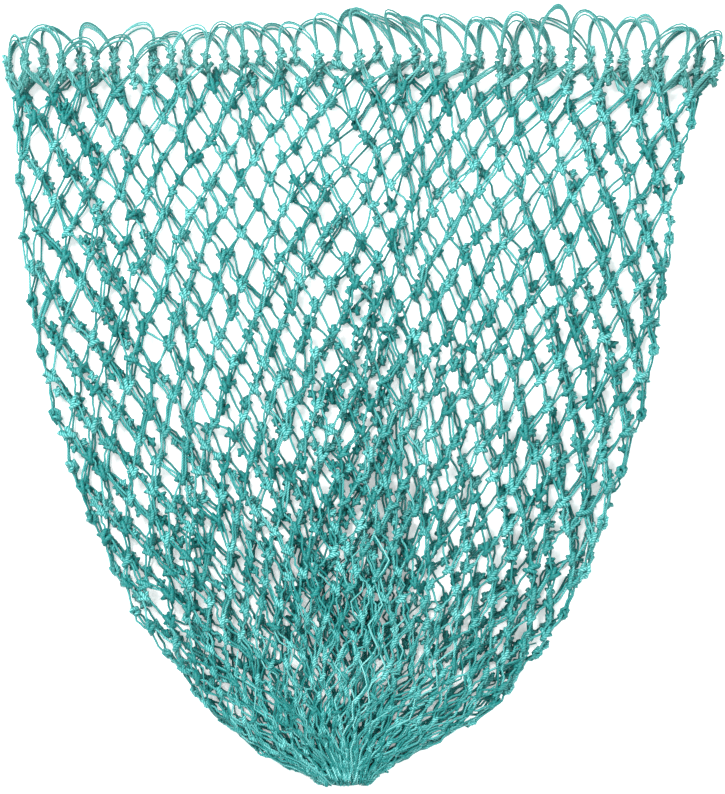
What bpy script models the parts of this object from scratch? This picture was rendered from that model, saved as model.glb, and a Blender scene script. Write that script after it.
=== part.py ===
"""A landing-net bag of knotted twine, empty and lying on its back layer.

The bag is one tube of diamond netting, open at the mouth and gathered to a round tip. Two
coordinates place everything on it. The column counts meshes round the tube: 0 at the left
fold, 20 at the right fold, and on over the back layer to 40. The row counts the rows of knots
down from the mouth, from 0 at the feet of the mouth loops to 29 at the tip.

Five pieces are made. The mouth loops stand along the top edge, at the pitch of the netting, with
the doubled zigzag that ties them to the bag. They come in four lengths, two along the front edge
and two along the back one. The net bag below them has its meshes cut at twice the pitch, and at
the true pitch round the two folds, where they draw the outline. It closes up above the tip,
where the gathered twine leaves no open mesh.
"""

import math

import bmesh
import bpy
from mathutils import Vector

MM = 0.001

# Netting
PER_LAYER = 20  # meshes across the front layer, and as many across the back
ROUND = 2 * PER_LAYER
ROWS = 29  # rows of knots from the feet of the loops to the tip
FOLDS = (0, PER_LAYER)  # the columns of the left and the right fold
COARSE = 2  # the meshes are cut at this many times the pitch
FIRST_COARSE_ROW = 2
SHEET_ROW = 24  # from here to the tip the netting lies closed
THICKNESS = 1.6 * MM
BAR_HALF = 1.3 * MM  # half the size of a knot across, which sets the width of the bars too

# Outline, as the bag lies: the x of its two folds at heights up the bag, mouth at +Y
SECTIONS = (
    # y, left fold, right fold
    (182.0, -194.0, 195.6),
    (160.0, -187.5, 181.5),
    (106.0, -184.5, 169.0),
    (52.0, -178.5, 161.5),
    (-2.0, -168.0, 152.5),
    (-56.0, -150.5, 134.5),
    (-110.0, -126.0, 113.0),
    (-153.0, -94.5, 83.0),
    (-175.0, -75.5, 60.5),
    (-196.0, -48.0, 21.5),
    (-205.0, -29.0, 8.0),
    (-213.0, -15.0, 1.5),
)
MOUTH_Y = 183.0 * MM
FIRST_PITCH = 12.2 * MM  # between the first rows of knots
PITCH_GROWTH = 0.1 * MM  # how much the pitch gains with each row, as the meshes draw in
MOUTH_DROOP = 7.0 * MM  # how far the mouth drops from its middle to the folds
ROW_DROOP = 41.0 * MM  # the same for the rows at the belly of the bag
DROOP_SKEW = 1.2
EDGE_CROWDING = 0.2  # how much closer the meshes stand beside the folds

# Height of the front layer over the back one
MOUTH_GAP = 7.4 * MM
BELLY_GAP = 8.0 * MM  # added where the slack netting lies, above the tip
BELLY_AT = 0.78  # as a share of the rows
BELLY_SPREAD = 0.17
TIP_CLOSING = 0.55  # share of the gap that is lost at the tip
TIP_CLOSING_FROM = 0.86
FOLD_WIDTH = 7.0 * MM  # the folds are rounded over this width
FRONT_SWAY = 0.6 * MM
PLEAT_HEIGHT = 1.0 * MM
PLEATS_FROM = 20.0

# Mouth loops, left to right: how far each one rises over its feet
FRONT_RISES = (20, 23, 15, 15, 13, 19, 21, 20, 20, 24, 27, 26, 23, 22, 25, 31, 27, 24, 22, 20)
BACK_RISES = (18, 23, 24, 23, 17, 16, 20, 20, 22, 27, 25, 22, 24, 23, 25, 22, 24, 27, 22, 19)
LOOP_STEPS = 7
LOOP_HALF = 1.1 * MM  # half the width of a loop's bundle of strands
LOOP_BULGE = 0.1  # how far a loop swells sideways past its feet, in meshes
LOOP_FULLNESS = 0.8
SEAM_GAP = 0.3 * MM  # between the loops' zigzag and the bag
END_GAP = 0.4 * MM  # between two lengths of the loops, in the middle of a knot
LENGTHS = (
    # name, first column, last column
    ("loops_front_left", 0, 10),
    ("loops_front_right", 10, 20),
    ("loops_back_right", 20, 30),
    ("loops_back_left", 30, 40),
)

# Tip: the last ring of the netting, and the rounded end past it
TIP_ROW = 28.0
TIP_RINGS = (
    # row, share of the ring's size
    (28.6, 0.95),
    (28.9, 0.7),
)

TEAL = (0.030, 0.360, 0.335, 1.0)


def smooth_step(value):
    """0 below 0, 1 above 1, and a soft rise between."""
    share = min(1.0, max(0.0, value))
    return share * share * (3.0 - 2.0 * share)


def slope_at(index, column):
    """The outline's slope at one section, for the smooth curve through them all."""
    before = SECTIONS[max(index - 1, 0)]
    after = SECTIONS[min(index + 1, len(SECTIONS) - 1)]
    return (after[column] - before[column]) / (after[0] - before[0])


def fold_x(y, column):
    """The x of the left fold (column 1) or the right fold (column 2) at a height y."""
    height = min(SECTIONS[0][0], max(SECTIONS[-1][0], y / MM))
    index = next(i for i in range(len(SECTIONS) - 1) if SECTIONS[i + 1][0] <= height)
    upper, lower = SECTIONS[index], SECTIONS[index + 1]
    span = lower[0] - upper[0]
    t = (height - upper[0]) / span
    start = (2 * t**3 - 3 * t**2 + 1) * upper[column]
    leaving = (t**3 - 2 * t**2 + t) * span * slope_at(index, column)
    end = (3 * t**2 - 2 * t**3) * lower[column]
    arriving = (t**3 - t**2) * span * slope_at(index + 1, column)
    return (start + leaving + end + arriving) * MM


def middle_y(row):
    """The height up the bag of the middle of a row."""
    return MOUTH_Y - FIRST_PITCH * row - PITCH_GROWTH * row * row / 2.0


def row_pitch(row):
    return FIRST_PITCH + PITCH_GROWTH * row


def droop(row):
    """How far a row drops from its middle to the folds."""
    share = max(0.0, row / ROWS)
    return MOUTH_DROOP * (1.0 - share) + ROW_DROOP * math.sin(math.pi * share**DROOP_SKEW)


def layer_gap(row):
    """From the middle of the back layer up to the middle of the front one."""
    share = row / ROWS
    belly = math.exp(-(((share - BELLY_AT) / BELLY_SPREAD) ** 2))
    closing = smooth_step((share - TIP_CLOSING_FROM) / (1.0 - TIP_CLOSING_FROM))
    return (MOUTH_GAP + BELLY_GAP * belly) * (1.0 - TIP_CLOSING * closing)


def bag_point(column, row):
    """A point on the middle surface of the netting."""
    column %= ROUND
    front = column <= PER_LAYER
    across = column if front else ROUND - column
    side = 2.0 * across / PER_LAYER - 1.0

    row_y = middle_y(row)
    left = fold_x(row_y - droop(row), 1)
    right = fold_x(row_y - droop(row), 2)
    half = (right - left) / 2.0
    spread = (1.0 - EDGE_CROWDING) * side + EDGE_CROWDING * math.sin(math.pi / 2.0 * side)
    x = (left + right) / 2.0 + half * spread
    y = row_y - droop(row) * side * side

    fold_share = min(1.0, FOLD_WIDTH / half)
    into_fold = max(0.0, (abs(side) - 1.0 + fold_share) / fold_share)
    level = math.sqrt(1.0 - min(1.0, into_fold) ** 2)
    half_gap = layer_gap(row) / 2.0
    if not front:
        return Vector((x, y, THICKNESS / 2.0 + half_gap * (1.0 - level)))
    sway = FRONT_SWAY * (1.0 + math.sin(0.9 * column + 0.35 * row))
    pleat = PLEAT_HEIGHT * math.cos(math.pi * column) * (0.6 + 0.4 * math.sin(1.7 * column))
    pleat *= smooth_step((row - PLEATS_FROM) / (ROWS - PLEATS_FROM))
    rise = half_gap * (1.0 + level) + level * (sway + pleat)
    return Vector((x, y, THICKNESS / 2.0 + rise))


def outward(column, row):
    """The direction that points out of the bag at a point of its middle surface."""
    step = 0.02
    round_bag = bag_point(column + step, row) - bag_point(column - step, row)
    down_bag = bag_point(column, row + step) - bag_point(column, row - step)
    return down_bag.cross(round_bag).normalized()


def on_bag(column, row):
    """A point of the netting and its outward direction."""
    return bag_point(column, row), outward(column, row)


def past_mouth(column, rise):
    """The same above the mouth, a rise over the feet of the loops."""
    return bag_point(column, 0.0) + Vector((0.0, rise, 0.0)), outward(column, 0.0)


class Netting:
    """A sheet with openings, drawn as flat faces and then given its thickness."""

    def __init__(self):
        self.points = {}
        self.faces = []

    def point(self, key, place):
        self.points[key] = place
        return key

    def face(self, *keys):
        """A face whose corners run anticlockwise as seen from outside the bag."""
        self.faces.append(keys)

    def bar(self, upper, lower):
        """The bar from a knot to the one below it on the right or on the left."""
        if (lower[0] - upper[0]) % ROUND < PER_LAYER:
            self.face((*upper, "E"), (*upper, "S"), (*lower, "W"), (*lower, "N"))
        else:
            self.face((*upper, "W"), (*lower, "N"), (*lower, "E"), (*upper, "S"))

    def knot(self, column, row):
        """A knot with its four corners, each named after its place."""
        wide = BAR_HALF / self.column_width(row)
        high = BAR_HALF / row_pitch(row)
        name = (column % ROUND, row)
        self.point((*name, "N"), on_bag(column, row - high))
        self.point((*name, "E"), on_bag(column + wide, row))
        self.point((*name, "S"), on_bag(column, row + high))
        self.point((*name, "W"), on_bag(column - wide, row))
        self.face(*[(*name, corner) for corner in "NWSE"])
        return name

    @staticmethod
    def column_width(row):
        """How wide one mesh is at the middle of a row."""
        return abs((bag_point(PER_LAYER / 2.0 + 1.0, row) - bag_point(PER_LAYER / 2.0, row)).x)

    def thicken(self, mesh, left_open=()):
        """Both skins of the sheet, and walls along its free edges but those left open."""
        outer = {}
        inner = {}
        for key, (place, away) in self.points.items():
            outer[key] = mesh.verts.new(place + away * THICKNESS / 2.0)
            inner[key] = mesh.verts.new(place - away * THICKNESS / 2.0)
        edges = set()
        for keys in self.faces:
            mesh.faces.new([outer[key] for key in keys])
            mesh.faces.new([inner[key] for key in reversed(keys)])
            edges.update(zip(keys, keys[1:] + keys[:1], strict=True))
        for start, end in edges:
            if (end, start) not in edges and not {start, end} <= set(left_open):
                mesh.faces.new((outer[end], outer[start], inner[start], inner[end]))
        return outer, inner


def finish_object(name, mesh):
    """The object of a finished mesh, in teal twine."""
    data = bpy.data.meshes.new(name)
    bmesh.ops.triangulate(mesh, faces=mesh.faces[:])
    mesh.to_mesh(data)
    mesh.free()
    item = bpy.data.objects.new(name, data)
    bpy.context.collection.objects.link(item)
    finish = bpy.data.materials.new(f"{name}_twine")
    finish.use_nodes = True
    shader = finish.node_tree.nodes["Principled BSDF"]
    shader.inputs["Base Color"].default_value = TEAL
    shader.inputs["Roughness"].default_value = 0.45
    shader.inputs["Metallic"].default_value = 0.0
    data.materials.append(finish)
    return item


def loop_sections(column, rise, first, last):
    """Cross-sections of one mouth loop between its feet: its outer and its inner edge.

    It swells past its feet, but not over the first or the last column of its length.
    """
    width = Netting.column_width(0)
    clear = LOOP_HALF + END_GAP / 2.0
    steps = []
    for index in range(LOOP_STEPS + 1):
        turn = math.pi * index / LOOP_STEPS
        swell = 1.0 + 2.0 * LOOP_BULGE * math.sin(turn)
        along = width * (0.5 - 0.5 * math.cos(turn) * swell)
        if column == first:
            along = max(along, clear)
        if column == last - 1:
            along = min(along, width - clear)
        steps.append(Vector((along, rise * math.sin(turn) ** LOOP_FULLNESS)))
    for index in range(1, LOOP_STEPS):
        run = (steps[index + 1] - steps[index - 1]).normalized()
        across = Vector((-run.y, run.x)) * LOOP_HALF
        outer = steps[index] + across
        inner = steps[index] - across
        yield (
            past_mouth(column + outer.x / width, outer.y),
            past_mouth(column + inner.x / width, inner.y),
        )


def add_end_knot(netting, column, way):
    """Half of a loop's foot, where one length of loops starts (way 1) or stops (way -1)."""
    width = Netting.column_width(0)
    cut = column + way * END_GAP / 2.0 / width
    high = BAR_HALF / row_pitch(0)
    side = "E" if way == 1 else "W"
    name = (column, 0.0)
    netting.point((*name, "N"), on_bag(cut, -high))
    netting.point((*name, "S"), on_bag(cut, high))
    netting.point((*name, side), on_bag(column + way * BAR_HALF / width, 0.0))
    corners = "NSE" if way == 1 else "NWS"
    netting.face(*[(*name, corner) for corner in corners])
    return name


def make_mouth_loops(name, first, last):
    """One length of loops along the mouth, their knots, and the zigzag below them."""
    netting = Netting()
    tip_wide = BAR_HALF / Netting.column_width(1)
    tip_high = BAR_HALF / row_pitch(1)
    tip_row = 1.0 - SEAM_GAP / 2.0 / row_pitch(1)
    feet = [add_end_knot(netting, first, 1)]
    feet += [netting.knot(column, 0.0) for column in range(first + 1, last)]
    feet.append(add_end_knot(netting, last, -1))
    rises = FRONT_RISES + tuple(reversed(BACK_RISES))
    for column, foot, next_foot in zip(range(first, last), feet, feet[1:], strict=False):
        tip = (column, "tip")
        middle = column + 0.5
        netting.point((*tip, "N"), on_bag(middle, tip_row - 2.0 * tip_high))
        netting.point((*tip, "W"), on_bag(middle - tip_wide, tip_row - tip_high))
        netting.point((*tip, "SW"), on_bag(middle - tip_wide, tip_row))
        netting.point((*tip, "SE"), on_bag(middle + tip_wide, tip_row))
        netting.point((*tip, "E"), on_bag(middle + tip_wide, tip_row - tip_high))
        netting.face(*[(*tip, corner) for corner in ("N", "W", "SW", "SE", "E")])
        netting.face((*foot, "E"), (*foot, "S"), (*tip, "W"), (*tip, "N"))
        netting.face((*next_foot, "W"), (*tip, "N"), (*tip, "E"), (*next_foot, "S"))

        above, below = (*foot, "N"), (*foot, "E")
        sections = loop_sections(column, rises[column] * MM, first, last)
        for index, (outer, inner) in enumerate(sections):
            next_above = netting.point((column, "loop", index, "outer"), outer)
            next_below = netting.point((column, "loop", index, "inner"), inner)
            netting.face(above, below, next_below, next_above)
            above, below = next_above, next_below
        netting.face(above, below, (*next_foot, "W"), (*next_foot, "N"))

    mesh = bmesh.new()
    netting.thicken(mesh)
    return finish_object(name, mesh)


def add_top_ends(netting):
    """The short bars that reach up from the first coarse knots to the zigzag's tips."""
    end_row = 1.0 + SEAM_GAP / 2.0 / row_pitch(1)
    wide = BAR_HALF / Netting.column_width(1)
    for column in range(0, ROUND, COARSE):
        knot = (column, FIRST_COARSE_ROW)
        for side, near, far in ((0.5, "N", "E"), (-0.5, "W", "N")):
            name = (column, side, "end")
            netting.point((*name, "W"), on_bag(column + side - wide, end_row))
            netting.point((*name, "E"), on_bag(column + side + wide, end_row))
            netting.face((*name, "E"), (*name, "W"), (*knot, near), (*knot, far))


def coarse_columns(row):
    """The columns of the coarse knots in a row: every second one, shifted from row to row."""
    first = (row - FIRST_COARSE_ROW) // COARSE % COARSE
    return range(first, ROUND, COARSE)


def add_meshes(netting):
    """The coarse diamond meshes, from the first coarse row to the closed part."""
    for row in range(FIRST_COARSE_ROW, SHEET_ROW, COARSE):
        for column in coarse_columns(row):
            netting.knot(column, row)
    for row in range(FIRST_COARSE_ROW, SHEET_ROW, COARSE):
        for column in coarse_columns(row):
            for side in (1, -1):
                upper = (column, row)
                lower = ((column + side) % ROUND, row + COARSE)
                if column in FOLDS or lower[0] in FOLDS:
                    half_way = netting.knot(column + side / 2.0, row + COARSE / 2.0)
                    netting.bar(upper, half_way)
                    netting.bar(half_way, lower)
                else:
                    netting.bar(upper, lower)
    for row in range(FIRST_COARSE_ROW + COARSE, SHEET_ROW, 2 * COARSE):
        for fold in FOLDS:
            add_fold_knot(netting, fold, row)


def add_fold_knot(netting, fold, row):
    """A knot on a fold between two coarse ones, with its four short bars."""
    knot = netting.knot(fold, row)
    for side in (0.5, -0.5):
        netting.bar(((fold + side) % ROUND, row - 1.0), knot)
        netting.bar(knot, ((fold + side) % ROUND, row + 1.0))


def add_closed_part(netting):
    """The closed netting above the tip. Returns its last ring, in order round the bag."""
    wide = BAR_HALF / Netting.column_width(SHEET_ROW)
    rings = []
    for row in [SHEET_ROW, 25.0, 26.0, 27.0, TIP_ROW]:
        ring = []
        for column in range(1, ROUND, COARSE):
            knot = (column, SHEET_ROW)
            if row == SHEET_ROW:
                high = BAR_HALF / row_pitch(row)
                netting.point((*knot, "N"), on_bag(column, row - high))
                netting.point((*knot, "W"), on_bag(column - wide, row))
                netting.point((*knot, "E"), on_bag(column + wide, row))
                netting.face((*knot, "N"), (*knot, "W"), (*knot, "E"))
                ring += [(*knot, "W"), (*knot, "E")]
            else:
                ring.append(netting.point((*knot, row, "W"), on_bag(column - wide, row)))
                ring.append(netting.point((*knot, row, "E"), on_bag(column + wide, row)))
            ring.append(netting.point((*knot, row, "between"), on_bag(column + 1.0, row)))
        if rings:
            for index, key in enumerate(ring):
                past = (index + 1) % len(ring)
                netting.face(rings[-1][index], key, ring[past], rings[-1][past])
        rings.append(ring)
    return rings[-1]


def close_tip(mesh, outer, inner, ring):
    """The gathered end: the inner skin closes, and the outer one rounds off past it."""
    mesh.faces.new([inner[key] for key in ring])
    last = [outer[key] for key in ring]
    for row, share in TIP_RINGS:
        spine = (bag_point(PER_LAYER / 2.0, row) + bag_point(-PER_LAYER / 2.0, row)) / 2.0
        middle = Vector((sum(v.co.x for v in last) / len(last), spine.y, spine.z))
        places = [on_bag(*column_and_row(key, row)) for key in ring]
        following = [
            mesh.verts.new(middle + (place + away * THICKNESS / 2.0 - middle) * share)
            for place, away in places
        ]
        for index, vertex in enumerate(last):
            past = (index + 1) % len(last)
            mesh.faces.new((vertex, following[index], following[past], last[past]))
        last = following
    mesh.faces.new(reversed(last))


def column_and_row(key, row):
    """The column of a point of the last ring, with another row."""
    wide = BAR_HALF / Netting.column_width(SHEET_ROW)
    shift = {"W": -wide, "E": wide, "between": 1.0}[key[-1]]
    return key[0] + shift, row


def make_net_bag():
    """The bag: coarse meshes, the closed part below them and the gathered tip."""
    netting = Netting()
    add_meshes(netting)
    add_top_ends(netting)
    ring = add_closed_part(netting)
    mesh = bmesh.new()
    outer, inner = netting.thicken(mesh, left_open=ring)
    close_tip(mesh, outer, inner, ring)
    return finish_object("net_bag", mesh)


def main():
    for item in list(bpy.data.objects):
        bpy.data.objects.remove(item)
    for name, first, last in LENGTHS:
        make_mouth_loops(name, first, last)
    make_net_bag()


main()
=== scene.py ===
"""A landing-net bag of knotted teal twine, empty and lying flat on its back layer.

The bag is one tube of diamond netting, open at the mouth and gathered to a round tip. A place
on it is given by its column, counted in meshes round the tube from the left fold (0) over the
front to the right fold (22) and back underneath (44), and by its row, counted in rows of knots
from the mouth (0) to the tip. Sizes are in metres unless a comment says otherwise.
"""

import math

import bpy
import numpy as np
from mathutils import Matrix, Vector


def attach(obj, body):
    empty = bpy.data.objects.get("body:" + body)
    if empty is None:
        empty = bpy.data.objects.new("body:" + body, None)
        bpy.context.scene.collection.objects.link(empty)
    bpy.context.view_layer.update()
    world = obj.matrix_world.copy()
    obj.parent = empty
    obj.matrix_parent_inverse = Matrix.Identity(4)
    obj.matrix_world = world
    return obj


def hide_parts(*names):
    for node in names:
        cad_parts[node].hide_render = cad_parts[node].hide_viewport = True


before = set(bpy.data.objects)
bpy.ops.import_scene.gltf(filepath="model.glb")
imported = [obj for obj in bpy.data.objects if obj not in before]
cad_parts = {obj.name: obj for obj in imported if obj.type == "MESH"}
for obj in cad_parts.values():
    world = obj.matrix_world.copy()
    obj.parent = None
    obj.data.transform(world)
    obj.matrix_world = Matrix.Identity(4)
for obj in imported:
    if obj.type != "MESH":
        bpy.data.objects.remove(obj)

MM = 0.001
CHANCE = np.random.default_rng(29)
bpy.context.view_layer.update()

# The netting, with the outline of the solids
PER_LAYER = 22  # meshes across a layer
ROUND = 2 * PER_LAYER  # and round the tube
ROWS = 33  # rows of knots from the mouth to the tip
SECTIONS = np.array(
    (
        # y, left fold, right fold, in millimetres
        (182.0, -194.0, 195.6),
        (160.0, -187.5, 181.5),
        (106.0, -184.5, 169.0),
        (52.0, -178.5, 161.5),
        (-2.0, -168.0, 152.5),
        (-56.0, -150.5, 134.5),
        (-110.0, -126.0, 113.0),
        (-153.0, -94.5, 83.0),
        (-175.0, -75.5, 60.5),
        (-196.0, -48.0, 21.5),
        (-205.0, -29.0, 8.0),
        (-213.0, -15.0, 1.5),
    )
)
MOUTH_Y = 183.0 * MM
PITCH = (12.5 * MM, 0.1 * MM, -0.0035 * MM)  # the way down for a row, its square and its cube
MOUTH_DROOP = 7.0 * MM  # how far the mouth drops from its middle to the folds
ROW_DROOP = 36.0 * MM  # and what the rows in the lower half add to it
DROOP_SKEW = 1.2
MOUTH_GAP = 7.4 * MM  # from the back layer up to the front one
BELLY_GAP = 8.0 * MM  # added where the slack netting lies
BELLY_AT = 0.78  # the place of the belly, as a share of the way down
BELLY_SPREAD = 0.17
TIP_CLOSING = 0.55  # the share of the gap that closes towards the tip
TIP_CLOSING_FROM = 0.86
TIP_END = -210.6 * MM  # no twine lies further down
FOLD_WIDTH = 7.0 * MM  # over which the tube turns from one layer to the other
FOLD_ROUND = 10.0 * MM  # over which the meshes narrow towards a side fold

# The twine: the diameters of its strands
TWINE = 1.25 * MM
BAR_TWINE = 1.28 * MM  # pulled tight between two knots
KNOT_TWINE = 1.75 * MM  # pressed flat in a knot of size 1
LOOP_STRAND = 1.1 * MM  # in the mouth loops
TIP_STRAND = 0.95 * MM  # stretched above the tip
LAY = 4.4 * MM  # the length of one turn of its plies
PLIES = 3.0

# How the two layers lie on each other
REST_HEIGHT = 2.0 * MM  # of the back layer's knots
NET_THICKNESS = 1.2 * MM  # of a layer, taken off the gap between the two
RIPPLE = 0.6 * MM  # of the front layer, up and down
RIPPLE_TURN = (0.9, 0.35)  # the angle of its wave for a column and for a row
TURN = 0.06  # meshes that the tube is turned by
LOOP_TURN = 0.25  # meshes that the feet of the loops are turned by
LIFT = 3.0 * MM  # how far the front layer lies down the bag, and the back layer up
LEAN = 1.5 * MM  # and more so to the right
LIFT_FROM = (-1.0, 3.0)  # the row from which they do, and over how many rows more and more
LIFT_UP_TO = (24.0, 6.0)  # the row from which they do less, and over how many rows
SLIP = 0.5  # meshes that the back layer has slipped sideways
SLIP_AT = 0.03  # where it has, across the bag
SLIP_WIDTH = 0.16
STRAY = 1.3 * MM  # how far a knot strays from its place

# Mouth loops: the highest point of each, in millimetres, and its strands beside the first
FRONT_LOOPS = (
    (-187.9, 196.0, 2),
    (-172.3, 200.9, 3),
    (-150.7, 193.9, 4),
    (-128.5, 195.5, 3),
    (-109.6, 193.9, 3),
    (-89.1, 200.9, 2),
    (-75.6, 202.5, 3),
    (-61.6, 202.5, 3),
    (-39.4, 202.5, 3),
    (-22.1, 207.4, 2),
    (-3.2, 210.1, 3),
    (14.0, 209.0, 3),
    (35.1, 206.3, 2),
    (61.6, 205.2, 3),
    (83.2, 207.9, 3),
    (105.8, 212.0, 3),
    (120.4, 209.0, 2),
    (144.7, 205.2, 3),
    (172.8, 201.4, 3),
    (191.2, 197.6, 2),
)
BACK_LOOPS = (
    (-182.5, 195.0, 2),
    (-169.6, 200.9, 2),
    (-149.0, 203.0, 2),
    (-118.8, 203.0, 2),
    (-102.1, 198.2, 2),
    (-84.8, 197.6, 2),
    (-65.9, 202.0, 2),
    (-49.1, 202.5, 3),
    (-24.8, 204.7, 2),
    (-6.5, 210.1, 3),
    (5.4, 207.4, 2),
    (23.2, 206.3, 3),
    (44.3, 207.4, 2),
    (68.6, 205.7, 3),
    (90.7, 204.7, 4),
    (99.4, 205.7, 2),
    (128.5, 206.3, 2),
    (153.4, 207.4, 3),
    (177.1, 200.3, 2),
    (189.0, 197.6, 3),
)

LOOPS = len(FRONT_LOOPS) + len(BACK_LOOPS)

UP = np.array((0.0, 0.0, 1.0))


def smooth_step(value):
    share = np.clip(value, 0.0, 1.0)
    return share * share * (3.0 - 2.0 * share)


def rise(value, start, over):
    """From 0 at the start smoothly up to 1."""
    return smooth_step((value - start) / over)


def unit(vectors):
    return vectors / np.linalg.norm(vectors, axis=-1, keepdims=True)


# ---------------------------------------------------------------- how the bag lies


def fold_x(y, side):
    """The x of the left fold (side 1) or the right fold (side 2) at heights y."""
    heights, places = SECTIONS[::-1, 0], SECTIONS[::-1, side]
    after = np.minimum(np.arange(len(heights)) + 1, len(heights) - 1)
    before = np.maximum(np.arange(len(heights)) - 1, 0)
    slopes = (places[after] - places[before]) / (heights[after] - heights[before])
    y = np.clip(np.asarray(y) / MM, heights[0], heights[-1])
    index = np.clip(np.searchsorted(heights, y, side="right") - 1, 0, len(heights) - 2)
    span = heights[index + 1] - heights[index]
    t = (y - heights[index]) / span
    start = (2 * t**3 - 3 * t**2 + 1) * places[index]
    leaving = (t**3 - 2 * t**2 + t) * span * slopes[index]
    end = (3 * t**2 - 2 * t**3) * places[index + 1]
    arriving = (t**3 - t**2) * span * slopes[index + 1]
    return (start + leaving + end + arriving) * MM


def droop(row):
    """How far a row drops from its middle to the folds."""
    share = np.clip(row / ROWS, 0.0, 1.0)
    return MOUTH_DROOP * (1.0 - share) + ROW_DROOP * np.sin(np.pi * share**DROOP_SKEW)


def layer_gap(row):
    """From the back layer up to the front one."""
    share = row / ROWS
    belly = np.exp(-(((share - BELLY_AT) / BELLY_SPREAD) ** 2))
    closing = rise(share, TIP_CLOSING_FROM, 1.0 - TIP_CLOSING_FROM)
    return (MOUTH_GAP + BELLY_GAP * belly) * (1.0 - TIP_CLOSING * closing)


def lie_flat(side, row):
    """The x and y of a place, from its side (-1 at the left fold, 1 at the right) and row."""
    row_y = MOUTH_Y - row * (PITCH[0] + row * (PITCH[1] + row * PITCH[2]))
    drop = droop(row)
    left, right = fold_x(row_y - drop, 1), fold_x(row_y - drop, 2)
    half = (right - left) / 2.0
    rounding = np.minimum(FOLD_ROUND, half / 2.0)
    along = (1.0 - np.abs(side)) * (half + rounding / 2.0)
    inward = np.where(along < rounding, along**2 / (2.0 * rounding), along - rounding / 2.0)
    x = (left + right) / 2.0 + np.sign(side) * (half - inward)
    return x, row_y - drop * side * side, half


def side_of(column):
    """How far a column lies across the bag: -1 at the left fold, 1 at the right."""
    return 2.0 * np.minimum(column, ROUND - column) / PER_LAYER - 1.0


def slipped(side):
    """How much of the slip there is: all of it in the middle and none towards the folds."""
    return np.exp(-(((side - SLIP_AT) / SLIP_WIDTH) ** 2))


def lie_in_tube(column, row):
    """A place on the bag's tube."""
    column = np.mod(column, ROUND)
    front = column <= PER_LAYER
    side = side_of(column)
    slip = 2.0 * SLIP / PER_LAYER * slipped(side)
    side = side + np.where(front, 0.0, slip)
    x, y, half = lie_flat(side, row)
    lift = (1.0 - side**4) * (LIFT + LEAN * side)
    lift = lift * (rise(row, *LIFT_FROM) * (1.0 - rise(row, *LIFT_UP_TO)))
    y = y - np.where(front, lift, -lift)
    fold_share = np.minimum(1.0, FOLD_WIDTH / half)
    into_fold = np.clip((np.abs(side) - 1.0 + fold_share) / fold_share, 0.0, 1.0)
    level = np.sqrt(1.0 - into_fold**2)
    half_gap = (layer_gap(row) - NET_THICKNESS) / 2.0
    ripple = RIPPLE * level * (1.0 + np.sin(RIPPLE_TURN[0] * column + RIPPLE_TURN[1] * row))
    z = REST_HEIGHT + half_gap * (1.0 + np.where(front, level, -level))
    return np.stack((x, y, z + np.where(front, ripple, 0.0)), axis=-1)


def frames_of(column, row):
    """At each place: the way round the bag, the way up it, and the way out of it."""
    step = 0.02
    around = unit(lie_in_tube(column + step, row) - lie_in_tube(column - step, row))
    up = lie_in_tube(column, row - step) - lie_in_tube(column, row + step)
    out = unit(np.cross(around, up))
    return np.stack((around, np.cross(out, around), out), axis=-2)


# ---------------------------------------------------------------- twine


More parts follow.
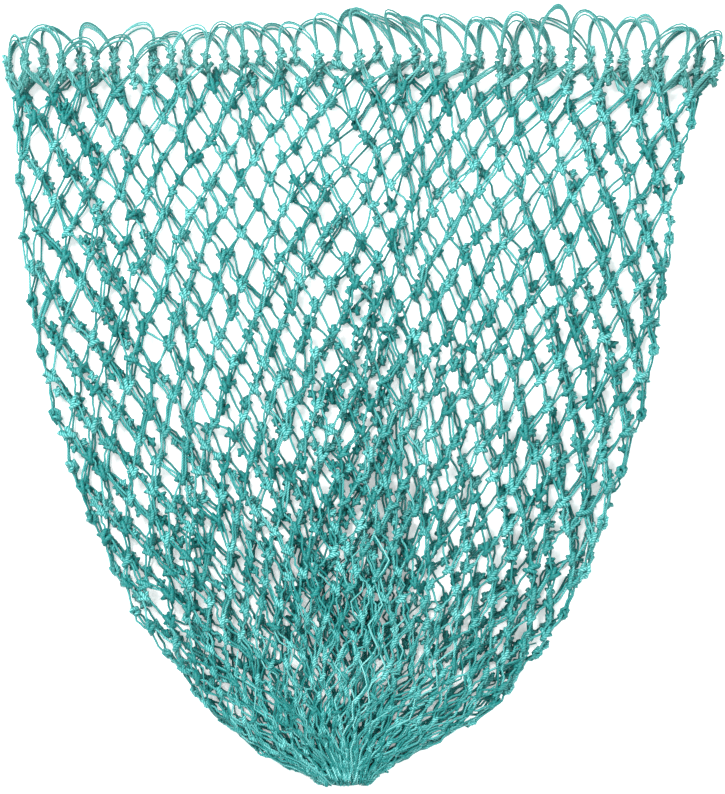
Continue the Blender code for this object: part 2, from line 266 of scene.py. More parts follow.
class Strands:
    """Lengths of twine, each a closed tube along its path, that become one mesh."""

    def __init__(self):
        self.points, self.faces, self.wraps, self.tones, self.middles = [], [], [], [], []
        self.count = 0

    def lay(self, paths, facing=UP, sides=6, thickness=TWINE, tones=None):
        """Adds paths of equal numbers of points. Facing is any way across each path's start."""
        many, steps, _ = paths.shape
        paths = paths.copy()
        paths[..., 2] = np.maximum(paths[..., 2], np.max(thickness) / 2.0)
        paths[..., 1] = np.maximum(paths[..., 1], TIP_END)
        self.middles.append(paths)
        run = unit(np.gradient(paths, axis=1))
        away = unit(facing - np.sum(facing * run[:, 0], axis=-1, keepdims=True) * run[:, 0])
        across = [away]
        for index in range(1, steps):
            away = away - np.sum(away * run[:, index], axis=-1, keepdims=True) * run[:, index]
            away = unit(away)
            across.append(away)
        across = np.stack(across, axis=1)[:, :, None]
        beside = np.cross(run[:, :, None], across)
        turn = (2.0 * np.pi * np.arange(sides) / sides)[None, None, :, None]
        radius = np.broadcast_to(np.asarray(thickness) / 2.0, (many, steps))[:, :, None, None]
        ring = paths[:, :, None] + radius * (np.cos(turn) * across + np.sin(turn) * beside)
        self.points.append(ring.reshape(-1, 3))

        length = np.linalg.norm(np.diff(paths, axis=1), axis=-1)
        along = np.concatenate((np.zeros((many, 1)), np.cumsum(length, axis=1)), axis=1) / LAY
        along = along + CHANCE.uniform(0.0, 1.0, (many, 1))
        tones = CHANCE.uniform(0.35, 1.0, many) if tones is None else tones
        self.tones.append(np.repeat(tones, steps * sides))

        first = self.count + np.arange(many)[:, None, None] * steps * sides
        step = np.arange(steps - 1)[None, :, None] * sides
        near = np.arange(sides)[None, None, :]
        past = (near + 1) % sides
        here, onward = first + step, first + step + sides
        quads = np.stack((here + near, here + past, onward + past, onward + near), axis=-1)
        self.faces.append(quads.reshape(-1, 4))
        u = np.stack((near, near + 1, near + 1, near), axis=-1) / sides
        u = np.broadcast_to(u, quads.shape)
        v = np.stack((along[:, :-1], along[:, :-1], along[:, 1:], along[:, 1:]), axis=-1)
        v = np.broadcast_to(v[:, :, None], quads.shape)
        self.wraps.append(np.stack((u, v), axis=-1).reshape(-1, 2))

        around = np.arange(sides)
        ends = np.concatenate((first[:, 0] + around[::-1], first[:, 0] + (steps - 1) * sides + around))
        self.faces.append(ends)
        self.wraps.append(np.zeros((ends.size, 2)))
        self.count += many * steps * sides

    def make(self, name, material, cover):
        """The object of all the lengths, smooth but for their cut ends."""
        mesh = bpy.data.meshes.new(name)
        points = np.concatenate(self.points)
        corners = np.concatenate([faces.ravel() for faces in self.faces])
        sizes = np.concatenate([np.full(len(faces), faces.shape[1]) for faces in self.faces])
        smooth = [np.full(len(faces), index % 2 == 0) for index, faces in enumerate(self.faces)]
        mesh.vertices.add(len(points))
        mesh.vertices.foreach_set("co", points.astype(np.float32).ravel())
        mesh.loops.add(len(corners))
        mesh.loops.foreach_set("vertex_index", corners.astype(np.int32))
        mesh.polygons.add(len(sizes))
        mesh.polygons.foreach_set("loop_start", (np.cumsum(sizes) - sizes).astype(np.int32))
        mesh.polygons.foreach_set("use_smooth", np.concatenate(smooth))
        mesh.update(calc_edges=True)
        wrap = mesh.uv_layers.new(name="twist")
        wrap.data.foreach_set("uv", np.concatenate(self.wraps).astype(np.float32).ravel())
        # painted shade: twine that lies under other twine is darkened in its colour
        for attribute, values in (("tone", np.concatenate(self.tones)), ("shade_under_twine", cover.over(points))):
            layer = mesh.attributes.new(attribute, "FLOAT", "POINT")
            layer.data.foreach_set("value", values.astype(np.float32))
        mesh.validate()
        mesh.materials.append(material)
        piece = bpy.data.objects.new(name, mesh)
        bpy.context.collection.objects.link(piece)
        return piece


class Cover:
    """How high the twine lies over each place: twine under other twine gets painted shade."""

    CELL = 1.0 * MM
    CELLS = (430, 460)
    CORNER = (-0.21, -0.225)
    BETWEEN = 6  # spots on the way from one point of a path to the next
    DEPTHS = (0.2 * MM, 3.2 * MM)  # depths at which painted shade starts, and over which it grows

    def __init__(self, *heaps):
        self.tops = np.zeros(self.CELLS)
        share = np.linspace(0.0, 1.0, self.BETWEEN + 1)[:-1, None, None]
        for strands in heaps:
            for paths in strands.middles:
                ends = paths[:, 1:].reshape(-1, 3)
                starts = paths[:, :-1].reshape(-1, 3)
                spots = (starts[None] * (1.0 - share) + ends[None] * share).reshape(-1, 3)
                column, row = self.cell(spots)
                np.maximum.at(self.tops, (column, row), spots[:, 2])
        around = [np.roll(self.tops, (x, y), (0, 1)) for x in (-1, 0, 1) for y in (-1, 0, 1)]
        self.tops = np.mean(around, axis=0) * 0.5 + np.max(around, axis=0) * 0.5

    def cell(self, points):
        return ((points[:, :2] - np.array(self.CORNER)) / self.CELL).astype(int).T

    def over(self, points):
        column, row = self.cell(points)
        return rise(self.tops[column, row] - points[:, 2], *self.DEPTHS)


def wind(turns, steps, first, last):
    """A strand wound like a ball of twine, its ends tucked in, for a knot one unit in radius.

    First and last are the directions of its first and last turns across the knot's face.
    """
    tucked_in = (0.15, 0.45, -0.3)
    start = 0.3  # the angle at which the strand comes out
    outermost = 0.52  # how far beside the middle its first turn and its last one lie
    path = [tucked_in]
    for step, turn in enumerate(np.linspace(start, start + 2.0 * math.pi * turns, steps)):
        turn = turn - 0.3 * math.sin(2.0 * turn)  # closer together where it bends round the sides
        share = step / (steps - 1)
        way = math.radians(first + (last - first) * share)
        aside = outermost - 2.0 * outermost * share
        reach = math.sqrt(1.0 - aside * aside)
        x = reach * math.cos(turn) * math.cos(way) - aside * math.sin(way)
        y = reach * math.cos(turn) * math.sin(way) + aside * math.cos(way)
        path.append((x, y, reach * math.sin(turn)))
    return np.array(path + [(-tucked_in[0], -tucked_in[1], tucked_in[2])])


KNOT_BALL = wind(2.0, 12, 142.0, 38.0)
KNOT_SIZE = np.array((1.7, 1.95, 1.2)) * MM  # across, up the bag and out of it
KNOT_TILT = 0.45  # how far a knot turns in its place
KNOT_FLIPPED = 0.3  # the share that lies face down, and the share that is mirrored
KNOT_UNEVEN = 0.075  # how far a knot's turns stray, in its radii
KNOT_OFF = 0.1  # and how far the whole knot does
DRAWN_NARROWER = 0.45
DRAWN_LONGER = 0.25


def tie_knots(strands, places, frames, sizes, drawn=0.0):
    """A knot at each place. Knots that are drawn out are narrow and long."""
    many = len(places)
    turn = CHANCE.normal(0.0, KNOT_TILT, many)
    face = np.where(CHANCE.random(many) < KNOT_FLIPPED, -1.0, 1.0)
    hand = np.where(CHANCE.random(many) < KNOT_FLIPPED, -1.0, 1.0)
    around = frames[:, 0] * np.cos(turn)[:, None] + frames[:, 1] * np.sin(turn)[:, None]
    up = frames[:, 1] * np.cos(turn)[:, None] - frames[:, 0] * np.sin(turn)[:, None]
    drawn = np.broadcast_to(drawn, many)[:, None, None]
    local = KNOT_BALL[None] + CHANCE.normal(0.0, KNOT_UNEVEN, (many, *KNOT_BALL.shape))
    local = local + CHANCE.normal(0.0, KNOT_OFF, (many, 1, 3))
    local = local * KNOT_SIZE * sizes[:, None, None]
    paths = (
        places[:, None]
        + local[:, :, 0:1] * (1.0 - DRAWN_NARROWER * drawn) * (around * hand[:, None])[:, None]
        + local[:, :, 1:2] * (1.0 + DRAWN_LONGER * drawn) * up[:, None]
        + local[:, :, 2:3] * (frames[:, 2] * face[:, None])[:, None]
    )
    shades = CHANCE.uniform(0.0, 0.65, many)
    thickness = (KNOT_TWINE * sizes**0.5)[:, None]
    strands.lay(paths, frames[:, 2], sides=5, thickness=thickness, tones=shades)


TWINS_APART = 0.62 * TWINE  # how far each strand of a doubled bar lies from its middle


def lead_bars(strands, starts, ends, leave=None, arrive=None, slack=0.0, doubled=0.12, tones=(0.1, 0.55)):
    """The bars between knots: straight, or a little wavy where they are slack.

    Leave and arrive are the steps that they first and last take along their knots, and doubled
    is the share of them that has two strands.
    """
    many = len(starts)
    t = (0.0, 0.25, 0.5, 0.75, 1.0) if leave is None else (0.0, 0.0, 0.33, 0.67, 1.0, 1.0)
    t = np.array(t)[None, :, None]
    run = unit(ends - starts)
    across = unit(np.cross(run, UP))
    twin = CHANCE.random(many) < doubled
    apart = np.where(twin, TWINS_APART, 0.0)[:, None]
    for side, chosen in ((1.0, np.ones(many, bool)), (-1.0, twin)):
        if not chosen.any():
            continue
        bend = CHANCE.normal(0.0, 1.0, (many, 1, 3)) * slack
        wave = CHANCE.normal(0.0, 1.0, (many, 1, 3)) * slack
        paths = starts[:, None] * (1.0 - t) + ends[:, None] * t + (side * apart * across)[:, None]
        paths = paths + bend * np.sin(np.pi * t) + wave * np.sin(2.0 * np.pi * t)
        if leave is not None:
            paths[:, 0] -= leave
            paths[:, -1] += arrive
        shades = CHANCE.uniform(*tones, chosen.sum())
        strands.lay(paths[chosen], sides=5, thickness=BAR_TWINE, tones=shades)


# ---------------------------------------------------------------- netting


# How large the knots of a row are: those of size 1 have the measures of KNOT_SIZE
SIZES_BY_ROW = ((1, 1.75), (2, 1.58), (3, 1.46), (8, 1.54), (14, 1.72), (20, 1.6), (26, 0.95), (32, 0.55))
SIZE_FACTOR = 1.09
LARGER_BY_FOLDS = 0.1  # added to the factor beside the side folds
UNEVEN_SIZES = (0.88, 1.14)
INTO_KNOT = (0.4, 1.3)  # the step that a bar takes within its knot: aside and along it, in twines
OUT_OF_KNOT = (0.8, 1.7)  # and the place where it leaves, from the middle of the knot
BARS_CLOSER = 0.35  # how much nearer to the middle it leaves a knot that is drawn out
BAR_SLACK = 0.3 * MM
SLACKER_FROM = (17.0, 6.0)  # the row from which bars are slacker, and the rows until twice as slack
DOUBLED_AT_MOUTH = 0.85  # the share of bars with two strands in the first row
DOUBLED_BELOW = 0.3  # and in the others


def drawn_out(row):
    """How far the knots of a row are drawn out: not at all, and more and more above the tip."""
    return rise(row, 20.0, 5.0)


def knit_tube():
    """Knots and bars of the tube, shared out to the front layer and the back one."""
    rows = np.repeat(np.arange(ROWS), ROUND).reshape(ROWS, ROUND)
    columns = np.arange(ROUND)[None] + 0.5 * (rows % 2) - TURN
    places = lie_in_tube(columns, rows.astype(float))
    frames = frames_of(columns, rows.astype(float))
    stray = CHANCE.normal(0.0, STRAY, (ROWS, ROUND, 2))
    places = places + stray[..., 0:1] * frames[..., 0, :] + stray[..., 1:2] * frames[..., 1, :]
    front = np.mod(columns, ROUND) <= PER_LAYER
    layers = {True: Strands(), False: Strands()}
    sizes = np.interp(rows, *zip(*SIZES_BY_ROW))
    beside_fold = rise(np.abs(np.mod(columns, PER_LAYER) / PER_LAYER - 0.5), 0.25, 0.2)
    sizes = sizes * (SIZE_FACTOR + LARGER_BY_FOLDS * beside_fold)
    sizes = sizes * CHANCE.uniform(*UNEVEN_SIZES, sizes.shape)
    drawn = drawn_out(rows)
    for is_front, strands in layers.items():
        chosen = (front == is_front) & (rows >= 1)
        tie_knots(strands, places[chosen], frames[chosen], sizes[chosen], drawn[chosen])

    for row in range(1, ROWS - 1):
        for side in (1, -1):
            shift = (row % 2) if side == 1 else (row % 2) - 1
            below = np.roll(np.arange(ROUND), -shift)
            upper, lower = places[row], places[row + 1][below]
            upper_frames, lower_frames = frames[row], frames[row + 1][below]
            narrow = (1.0 - BARS_CLOSER * drawn[row, 0]) * TWINE
            outward = side * narrow * sizes[row].mean()
            aside, along = INTO_KNOT[0] * outward, INTO_KNOT[1] * TWINE
            leave = aside * upper_frames[:, 0] - along * upper_frames[:, 1]
            arrive = aside * lower_frames[:, 0] - along * lower_frames[:, 1]
            aside, along = OUT_OF_KNOT[0] * outward, OUT_OF_KNOT[1] * TWINE
            starts = upper + aside * upper_frames[:, 0] - along * upper_frames[:, 1]
            ends = lower - aside * lower_frames[:, 0] + along * lower_frames[:, 1]
            for is_front, strands in layers.items():
                chosen = front[row] == is_front
                lead_bars(
                    strands,
                    starts[chosen],
                    ends[chosen],
                    leave[chosen],
                    arrive[chosen],
                    slack=BAR_SLACK + BAR_SLACK * float(rise(row, *SLACKER_FROM)),
                    doubled=DOUBLED_AT_MOUTH if row < 2 else DOUBLED_BELOW,
                )
    return layers[True], layers[False]


# The inner folds: netting that lies along the bars of the layers, between these rows
SLACK_FROM = 1
SLACK_TO = 25
SLACK_FREE = 0.3  # meshes beside the side folds that stay free of it
SLACK_STRAY = np.array((0.8, 1.2, 0.0))  # how far its knots stray, in millimetres
SLACK_UNEVEN = 0.1  # and how far in height, as a share of the way between the layers
SLACK_SIZES = (1.15, 1.45)
SLACK_BARS = 0.5 * MM  # how wavy its bars are


def lay_slack(strands, way, layer, share, likely):
    """Inner knots halfway along the bars that run one way, and the twine that joins them.

    Way is 1 for bars that run down and to the right on the front, layer 0 for the front and
    1 for the back, share the height between the layers, and likely the odds at (row, side),
    with side from -1 to 1 in the order of the layer's columns.
    """
    start_column = PER_LAYER * layer
    end_column = start_column + PER_LAYER
    present, places = {}, {}
    for row in range(SLACK_FROM, SLACK_TO):
        level = row + 0.5
        columns = np.arange(PER_LAYER) + 0.5 * (row % 2) + 0.25 * way + start_column - TURN
        inside = (columns > start_column + SLACK_FREE) & (columns < end_column - SLACK_FREE)
        side = 2.0 * (columns - start_column) / PER_LAYER - 1.0
        present[row] = inside & (CHANCE.random(PER_LAYER) < likely(level, side))
        there = lie_in_tube(columns, np.full(PER_LAYER, level))
        heights = share + CHANCE.normal(0.0, SLACK_UNEVEN, PER_LAYER)
        there[:, 2] = REST_HEIGHT + (layer_gap(level) - NET_THICKNESS) * heights
        places[row] = there + CHANCE.normal(0.0, 1.0, there.shape) * SLACK_STRAY * MM
        frames = frames_of(columns, np.full(PER_LAYER, level))
        chosen = present[row]
        if chosen.any():
            sizes = CHANCE.uniform(*SLACK_SIZES, chosen.sum())
            drawn = np.full(chosen.sum(), drawn_out(level))
            tie_knots(strands, places[row][chosen], frames[chosen], sizes, drawn)
        if row > SLACK_FROM:
            near = np.arange(PER_LAYER)
            below = near - ((row % 2) if way == -1 else (row % 2) - 1)
            kept = (below >= 0) & (below < PER_LAYER)
            near, below = near[kept], below[kept]
            joined = present[row - 1][near] & present[row][below]
            if joined.any():
                starts, ends = places[row - 1][near[joined]], places[row][below[joined]]
                lead_bars(strands, starts, ends, slack=SLACK_BARS)


def gather_slack():
    """The inner folds of the netting, where the bag is pushed together.

    They lie beside its side folds, in its middle, and all over its lower half but for the
    open flanks.
    """
    strands = Strands()
    centre = 0.04  # of the dense middle, across the bag
    narrow = 0.12  # half of its width where it starts

    def by_folds(level, side):
        return np.where(side < 0.0, 0.65, 0.8) * rise(np.abs(side), 0.55, 0.2)

    def all_over(level, side):
        from_centre = np.abs(side - centre)
        first = 8.0 + np.where(side > centre, 48.0, 18.0) * np.minimum(from_centre, 0.25)
        left_open = rise(level, 17.5, 3.0) * rise(from_centre, 0.2, 0.2)
        share = 0.95 * rise(level, first, 5.0) * (1.0 - 0.7 * left_open)
        return np.maximum(share, by_folds(level, side))

    def in_middle(level, side):
        spread = narrow + 0.07 * max(level - 16.0, 0.0)
        middle = 0.03 - 0.8 * (spread - narrow)
        return 0.75 * rise(level, 6.0, 6.0) * (1.0 - rise(np.abs(side - middle), spread, 0.15))

    lay_slack(strands, 1, 0, 0.7, all_over)
    lay_slack(strands, -1, 0, 0.5, in_middle)
    lay_slack(strands, 1, 1, 0.25, in_middle)
    lay_slack(strands, -1, 1, 0.35, by_folds)
    return strands


# ---------------------------------------------------------------- mouth loops


FEET_STRAY = np.array((1.0, 1.3, 0.0))  # how far the feet stray, in millimetres
FOOT_KNOTS = ((2.4, 1.3, 1.7), (-2.4, 1.4, 1.8))  # millimetres above a foot, least and most size
MORE_KNOTS = ((6.0, 1.2, 1.6), (-7.0, 1.2, 1.6))  # and where the feet are crowded
CROWDED = (-0.1, 0.07)  # the x up to which, and from which, they are
CORNER_FROM = 0.16  # the x from which the feet are bundles
BUNDLED = 4  # strands in a bundle
BUNDLE_TURN = 7.0  # the angle by which they wind round each other
BUNDLE_FROM = -0.45  # the row where they start
BUNDLE_ROWS = 1.5  # and how far down they go
BUNDLE_BOW = 0.9 * MM  # how far they bow sideways

INSETS = (0.6, 1.3)  # how far apart the strands of a loop lie at its top, in twines
SWELLS = (-0.06, 0.12)  # how much wider a strand is on its way up than at its feet
SWELL_LOSS = 0.03  # and how much less with each further strand
FULLNESS = (0.75, 1.0)  # the power of its rise: it is full at its shoulders below 1
LOOP_SWAY = 0.5 * MM  # how far it bends up and down
ZIGZAG_SLACK = (0.3 * MM, 0.9 * MM)  # of the doubled bars below the feet, and of the third strand


def twist_bundle(strands, column, below):
    """The foot of a corner's loops: strands wound round each other down to the netting."""
    t = np.linspace(0.0, 1.0, 15)
    row = BUNDLE_FROM + BUNDLE_ROWS * t
    middle = lie_in_tube(column + (below - column) * np.clip(row, 0.0, 1.0), row)
    middle = middle + CHANCE.normal(0.0, BUNDLE_BOW, 3) * np.sin(np.pi * t)[:, None]
    across, _, out = frames_of(np.array([column]), np.array([0.3]))[0]
    start = CHANCE.uniform(0.0, 2.0 * math.pi)
    paths = []
    for strand in range(BUNDLED):
        turn = start + strand * 0.5 * math.pi + CHANCE.normal(0.0, 0.3) + t * BUNDLE_TURN
        turn = turn[:, None]
        reach = TWINE * (0.8 + 0.25 * np.sin(2.0 * turn)) * (1.0 - 0.5 * t[:, None] ** 4)
        paths.append(middle + reach * (np.cos(turn) * across + np.sin(turn) * out))
    shades = CHANCE.uniform(0.0, 0.9, BUNDLED)
    strands.lay(np.array(paths), out, thickness=LOOP_STRAND, tones=shades)


def bend_loop(strands, left, right, top_x, top_y, count):
    """A mouth loop from foot to foot over its highest point, its strands one within the other."""
    middle = (left + right) / 2.0
    half = (right[0] - left[0]) / 2.0
    t = np.linspace(0.0, 1.0, 15)
    turn = np.pi * t
    for strand in range(count):
        inset = strand * CHANCE.uniform(*INSETS) * TWINE
        height = top_y - middle[1] - inset - TWINE / 2.0
        swell = CHANCE.uniform(*SWELLS) - SWELL_LOSS * strand
        fullness = CHANCE.uniform(*FULLNESS)
        x = middle[0] - half * np.cos(turn) * (1.0 + 2.0 * swell * np.sin(turn))
        x = x + (top_x - middle[0]) * np.sin(turn) ** 1.6
        y = middle[1] + (right[1] - left[1]) * (t - 0.5) + height * np.sin(turn) ** fullness
        sway = CHANCE.normal(0.0, LOOP_SWAY) + CHANCE.normal(0.0, LOOP_SWAY) * np.cos(turn)
        z = np.maximum(middle[2] + sway * np.sin(turn), TWINE * 0.6)
        path = np.stack((x, y, z), axis=-1)[None]
        shade = np.array((CHANCE.uniform(0.0, 0.6),))
        strands.lay(path, thickness=LOOP_STRAND, tones=shade)


def make_heading():
    """The mouth loops, their thick knots, and the tripled zigzag that hangs the netting."""
    strands = Strands()
    columns = np.arange(LOOPS) * ROUND / LOOPS
    columns = columns - LOOP_TURN * (1.0 - slipped(side_of(columns)))
    rows = np.zeros(LOOPS)
    feet = lie_in_tube(columns, rows)
    frames = frames_of(columns, rows)
    feet = feet + CHANCE.normal(0.0, 1.0, feet.shape) * FEET_STRAY * MM
    crowded = (feet[:, 0] < CROWDED[0]) | (feet[:, 0] > CROWDED[1])
    for knots, chosen in ((FOOT_KNOTS, np.full(LOOPS, True)), (MORE_KNOTS, crowded)):
        for above, least, most in knots:
            sizes = CHANCE.uniform(least, most, chosen.sum())
            tie_knots(strands, feet[chosen] + frames[chosen, 1] * above * MM, frames[chosen], sizes)

    loops = [(index, *loop) for index, loop in enumerate(FRONT_LOOPS)]
    loops += [(LOOPS - 1 - index, *loop) for index, loop in enumerate(BACK_LOOPS)]
    for foot, top_x, top_y, beside_first in loops:
        left, right = feet[foot], feet[(foot + 1) % LOOPS]
        if left[0] > right[0]:
            left, right = right, left
        bend_loop(strands, left, right, top_x * MM, top_y * MM, beside_first + 1)

    for side in (1, -1):
        below = np.rint(columns + TURN + 0.5 * (side - 1)) + 0.5 - TURN
        for foot in np.flatnonzero(np.abs(feet[:, 0]) > CORNER_FROM):
            twist_bundle(strands, columns[foot], below[foot])
        starts = feet + side * 0.8 * TWINE * frames[:, 0] - 2.0 * MM * frames[:, 1]
        ends = lie_in_tube(below, rows + 1.0)
        lead_bars(strands, starts, ends, slack=ZIGZAG_SLACK[0], doubled=1.0, tones=(0.2, 0.8))
        lead_bars(strands, starts, ends, slack=ZIGZAG_SLACK[1], tones=(0.0, 0.6))
    return strands


# ---------------------------------------------------------------- gathered tip


DRAWN_TOGETHER = 3  # strands that run side by side down each column
DRAWN_APART = 0.13  # meshes from one of them to the next
DRAWN_FROM = (19.0, 25.0)  # the rows where they start, in the middle of the bag
DRAWN_LATER = 2.5  # and how many rows later on its flanks
DRAWN_SWING = 0.4  # meshes by which they go to and fro from row to row
DRAWN_LESS = 0.8  # how much less they do so at the tip
DRAWN_WANDER = 0.07  # meshes by which they stray with each half row
DRAWN_OUT = (-0.5, 1.0)  # how far out of the layer they lie, in millimetres
DRAWN_UNEVEN = 0.25

# The end of the bag: its places and lengths are in millimetres
TIP_X = -9.2
TIP_STRANDS = 13
TIP_HALF = 12.6  # half of the width across which their last knots lie
TIP_Y = -209.6  # of the knot in the middle
TIP_CURVE = 4.6  # how much further up the outer knots lie
TIP_HEIGHT = 4.6  # of all of them
TIP_REACH = (15.0, 24.0)  # how far up the bag the strands go
TIP_WAVE = 0.5  # how far they wander sideways
TIP_HUMP = 3.2  # how high they rise on the way
TIP_KNOTS = (0.5, 0.62)  # the sizes of the knots
TIP_EDGE_HALF = 13.6  # half of the width of the twine round the end
TIP_EDGE_Y = -205.8  # where it starts
TIP_EDGE_DEPTH = 4.6  # and how far down it goes from there
TIP_EDGE_HEIGHTS = (1.4, 2.8)


def draw_together(strands):
    """The meshes above the tip, drawn so far together that their bars lie side by side."""
    for layer, way_out in ((0, 1), (1, -1)):
        for index in range(DRAWN_TOGETHER * PER_LAYER):
            group, member = divmod(index, DRAWN_TOGETHER)
            column = group + 0.5 + DRAWN_APART * (member - 1) + layer * PER_LAYER
            later = DRAWN_LATER * rise(abs(side_of(group + 0.5)), 0.1, 0.3)
            first = CHANCE.uniform(*DRAWN_FROM) + later
            row = np.arange(first, ROWS - 0.3, 0.5)
            zigzag = np.sin(np.pi * (row + group) + CHANCE.normal(0.0, 0.2))
            wander = np.cumsum(CHANCE.normal(0.0, DRAWN_WANDER, row.size))
            swing = DRAWN_SWING * (1.0 - DRAWN_LESS * rise(row, 29.0, 3.0))
            path = lie_in_tube(column + swing * zigzag + wander - wander.mean(), row)
            out = rise(row, first, 1.5) * CHANCE.uniform(*DRAWN_OUT)
            path[:, 2] += (out + CHANCE.normal(0.0, DRAWN_UNEVEN, row.size)) * MM * way_out
            shade = np.array((CHANCE.uniform(-0.8, 1.0),))
            strands.lay(path[None], sides=5, thickness=TIP_STRAND, tones=shade)


def gather_tip():
    """The end of the bag: the strands that meet there, each with its small last knot."""
    strands = Strands()
    draw_together(strands)
    t = np.linspace(0.0, 1.0, 13)
    share = np.linspace(-1.0, 1.0, TIP_STRANDS) + CHANCE.normal(0.0, 0.02, TIP_STRANDS)
    level = np.zeros(TIP_STRANDS)
    feet = (TIP_X + TIP_HALF * share, TIP_Y + TIP_CURVE * share**2, level + TIP_HEIGHT)
    feet = np.stack(feet, axis=-1) * MM
    reach = CHANCE.uniform(*TIP_REACH, TIP_STRANDS) * (1.0 + 0.5 * np.abs(share)) * MM
    run = np.stack((np.sin(share), np.cos(share), level), axis=-1) * reach[:, None]
    paths = feet[:, None] + run[:, None] * t[None, :, None]
    beside = np.stack((np.cos(share), -np.sin(share), level), axis=-1)
    wave = TIP_WAVE * MM * np.sin(5.0 * t[None] + np.arange(TIP_STRANDS)[:, None] * 1.7)
    paths = paths + beside[:, None] * wave[..., None]
    paths[..., 2] += TIP_HUMP * MM * np.sin(np.pi * np.clip(t * 1.3, 0.0, 1.0))[None] ** 0.8
    strands.lay(paths, sides=7, tones=np.ones(TIP_STRANDS))
    frames = np.stack((beside, unit(run), np.broadcast_to(UP, feet.shape)), axis=-2)
    tie_knots(strands, feet, frames, CHANCE.uniform(*TIP_KNOTS, TIP_STRANDS))

    turn = np.linspace(np.pi * 0.98, np.pi * 2.02, 24)
    x, y = TIP_X + TIP_EDGE_HALF * np.cos(turn), TIP_EDGE_Y + TIP_EDGE_DEPTH * np.sin(turn)
    for height in TIP_EDGE_HEIGHTS:
        round_end = np.stack((x, y, np.full(turn.size, height)), axis=-1)
        strands.lay(round_end[None] * MM, tones=np.array((0.1,)))
    return strands


# ---------------------------------------------------------------- materials


class Value:
    """A number that varies over a surface. Sums on it add their Math nodes."""

    def __init__(self, finish, socket):
        self.finish, self.socket = finish, socket

    def worked(self, operation, *others):
        node = self.finish.node("ShaderNodeMath", {"operation": operation}, dict(enumerate(others)))
        return Value(self.finish, node.outputs[0])

    def __add__(self, other):
        return self.worked("ADD", self, other)

    def __radd__(self, other):
        return self.worked("ADD", other, self)

    def __sub__(self, other):
        return self.worked("SUBTRACT", self, other)

    def __rsub__(self, other):
        return self.worked("SUBTRACT", other, self)

    def __mul__(self, other):
        return self.worked("MULTIPLY", self, other)

    def __rmul__(self, other):
        return self.worked("MULTIPLY", other, self)

    def held(self):
        """Kept between 0 and 1."""
        return self.worked("MINIMUM", self.worked("MAXIMUM", self, 0.0), 1.0)

    def sine(self):
        return self.worked("SINE", self)

    def cosine(self):
        return self.worked("COSINE", self)


class Finish:
    """A material, and the one way in which its nodes are added."""

    def __init__(self, name):
        self.material = bpy.data.materials.new(name)
        self.material.use_nodes = True
        self.tree = self.material.node_tree
        self.shader = self.tree.nodes["Principled BSDF"]

    def node(self, kind, settings=None, values=None):
        node = self.tree.nodes.new(kind)
        for key, setting in (settings or {}).items():
            setattr(node, key, setting)
        self.fill(node, values or {})
        return node

    def fill(self, node, values):
        for key, value in values.items():
            if isinstance(value, Value):
                self.tree.links.new(value.socket, node.inputs[key])
            elif isinstance(value, bpy.types.NodeSocket):
                self.tree.links.new(value, node.inputs[key])
            else:
                node.inputs[key].default_value = value

    def value(self, socket):
        return Value(self, socket)

    def mix(self, factor, first, second, blend="MIX"):
        node = self.node("ShaderNodeMix", {"data_type": "RGBA", "blend_type": blend})
        self.fill(node, {0: factor, 6: first, 7: second})
        return node.outputs[2]


def twine_finish(name, shade_and_dark_tone, taut, body, painted_highlight):
    """Twine of a few plies of bright filaments: ridged and glossy on its plies, with a painted
    highlight on the ply ridges and painted shade between them.

    Strands of a low tone are taut in colour, those of a high tone have the body's colour and
    the painted highlight on their plies. Painted shade darkens what lies under other twine, and
    strands of a lower tone are darker in their own colour.
    """
    finish = Finish(name)
    place = finish.node("ShaderNodeTexCoord")
    split = finish.node("ShaderNodeSeparateXYZ", values={0: place.outputs["UV"]})
    around, along = finish.value(split.outputs[0]), finish.value(split.outputs[1])
    ply = ((around * PLIES - along * PLIES) * (2.0 * math.pi)).sine() * 0.5 + 0.5
    turn = around * (2.0 * math.pi)
    round_place = finish.node(
        "ShaderNodeCombineXYZ", values={0: turn.cosine(), 1: turn.sine(), 2: along * 0.8}
    )
    fibre = finish.node(
        "ShaderNodeTexNoise", values={"Vector": round_place.outputs[0], "Scale": 2.2, "Detail": 2.0}
    )
    fibre = finish.value(fibre.outputs[0])
    patches = finish.node(
        "ShaderNodeTexNoise", values={"Vector": place.outputs["Object"], "Scale": 45.0, "Detail": 2.0}
    )
    patches = finish.value(patches.outputs[0])
    tone = finish.node("ShaderNodeAttribute", {"attribute_name": "tone"})
    tone = finish.value(tone.outputs["Fac"])
    shade_under_twine = finish.node("ShaderNodeAttribute", {"attribute_name": "shade_under_twine"})
    shade_under_twine = finish.value(shade_under_twine.outputs["Fac"])

    base = finish.mix((tone * 1.6 + patches * 0.4 - 0.2).held(), taut, body)
    # painted highlight: a pale colour laid on the ply ridges
    base = finish.mix((tone * 0.9 + patches * 0.7 - 0.42).held() * ply, base, painted_highlight)
    # painted shade in the grooves between the plies, mottled by the fibre noise
    between = (1.0 - ply) * 0.8 + (0.6 - fibre) * 0.6
    # painted shade between the plies and under other twine, and a darker own colour for strands of a low
    # tone
    base = finish.mix((between + shade_under_twine * 0.45 + (0.17 - tone * 0.4)).held(), base, shade_and_dark_tone)
    bump = finish.node(
        "ShaderNodeBump",
        values={"Strength": 0.8, "Distance": 0.15 * MM, "Height": ply * 0.8 + fibre * 0.4},
    )
    finish.fill(
        finish.shader,
        {
            "Base Color": base,
            "Roughness": 0.4 - ply * 0.14,
            "Metallic": 0.0,
            "Normal": bump.outputs[0],
            "Specular IOR Level": 0.22,
        },
    )
    return finish.material


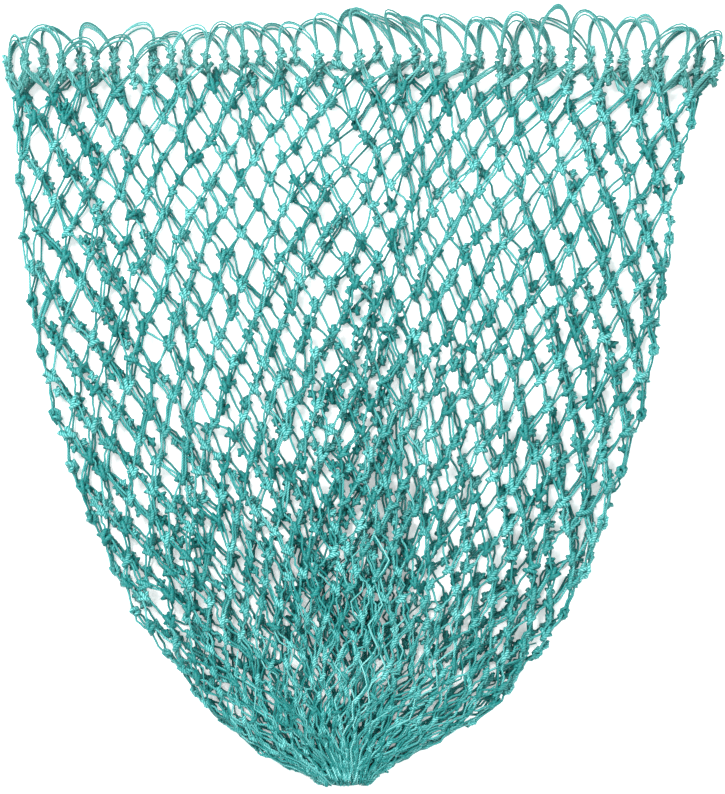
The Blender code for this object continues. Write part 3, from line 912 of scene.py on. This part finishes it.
NET_TWINE = twine_finish(
    "net_twine",
    # the colour of the painted shade, also the darker colour of strands of a low tone
    shade_and_dark_tone=(0.0, 0.155, 0.148, 1.0),
    taut=(0.03, 0.2, 0.19, 1.0),
    body=(0.02, 0.36, 0.35, 1.0),
    # the colour of the painted highlight on the ply ridges
    painted_highlight=(0.42, 0.86, 0.84, 1.0),
)
LOOP_TWINE = twine_finish(
    "loop_twine",
    # the colour of the painted shade, also the darker colour of strands of a low tone
    shade_and_dark_tone=(0.01, 0.135, 0.125, 1.0),
    taut=(0.085, 0.25, 0.23, 1.0),
    body=(0.03, 0.33, 0.32, 1.0),
    # the colour of the painted highlight on the ply ridges
    painted_highlight=(0.42, 0.80, 0.77, 1.0),
)

# ---------------------------------------------------------------- the pieces

LOOP_NODES = ("loops_front_left", "loops_front_right", "loops_back_left", "loops_back_right")

front, back = knit_tube()
slack = gather_slack()
tip = gather_tip()
heading = make_heading()
cover = Cover(front, back, slack, tip, heading)

made = {
    "net_front": (front.make("net_front", NET_TWINE, cover), ("net_bag",), "net_twine"),
    "net_back": (back.make("net_back", NET_TWINE, cover), ("net_bag",), "net_twine"),
    "net_slack": (slack.make("net_slack", NET_TWINE, cover), ("net_bag",), "net_twine"),
    "net_tip": (tip.make("net_tip", NET_TWINE, cover), ("net_bag",), "net_twine"),
    "mouth_heading": (heading.make("mouth_heading", LOOP_TWINE, cover), LOOP_NODES, "loop_twine"),
}
for piece, nodes, slot in made.values():
    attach(piece, "root")
    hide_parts(*nodes)

# ---------------------------------------------------------------- floor, light and camera

FLOOR = 3.0  # half of its width
floor_mesh = bpy.data.meshes.new("floor")
corners = [(x * FLOOR, y * FLOOR, 0.0) for x, y in ((-1, -1), (1, -1), (1, 1), (-1, 1))]
floor_mesh.from_pydata(corners, [], [(0, 1, 2, 3)])
floor = bpy.data.objects.new("floor", floor_mesh)
bpy.context.collection.objects.link(floor)
paper = Finish("paper")
paper.fill(
    paper.shader,
    {
        "Base Color": (0.95, 0.95, 0.95, 1.0),
        "Roughness": 0.9,
        "Specular IOR Level": 0.1,
        "Emission Color": (1.0, 1.0, 1.0, 1.0),
        "Emission Strength": 0.3,
    },
)
floor_mesh.materials.append(paper.material)


def soft_light(name, place, size, power):
    lamp = bpy.data.lights.new(name, "AREA")
    lamp.shape = "SQUARE"
    lamp.size = size
    lamp.energy = power
    light = bpy.data.objects.new(name, lamp)
    light.location = place
    light.rotation_euler = (-Vector(place)).to_track_quat("-Z", "Y").to_euler()
    bpy.context.collection.objects.link(light)


soft_light("key", (-0.9, 1.0, 1.7), 0.7, 60.0)
soft_light("fill", (1.3, -0.6, 1.6), 1.6, 16.0)

world = bpy.data.worlds.new("studio")
world.use_nodes = True
world.node_tree.nodes["Background"].inputs["Color"].default_value = (1.0, 1.0, 1.0, 1.0)
world.node_tree.nodes["Background"].inputs["Strength"].default_value = 1.0
bpy.context.scene.world = world
bpy.context.scene.view_settings.view_transform = "Standard"

CAMERA_PLACE = (0.00027, -0.00054, 1.7)
VIEW_LENGTH = 0.4288  # how much of the bag's length the picture takes in
VIEW_LEVEL = 0.006  # the height at which it does
SENSOR = 36.0
lens = bpy.data.cameras.new("camera")
lens.lens = SENSOR / 2.0 * (CAMERA_PLACE[2] - VIEW_LEVEL) / (VIEW_LENGTH / 2.0)
lens.clip_start, lens.clip_end = 0.01, 20.0
camera = bpy.data.objects.new("camera", lens)
camera.location = CAMERA_PLACE
bpy.context.collection.objects.link(camera)
bpy.context.scene.camera = camera
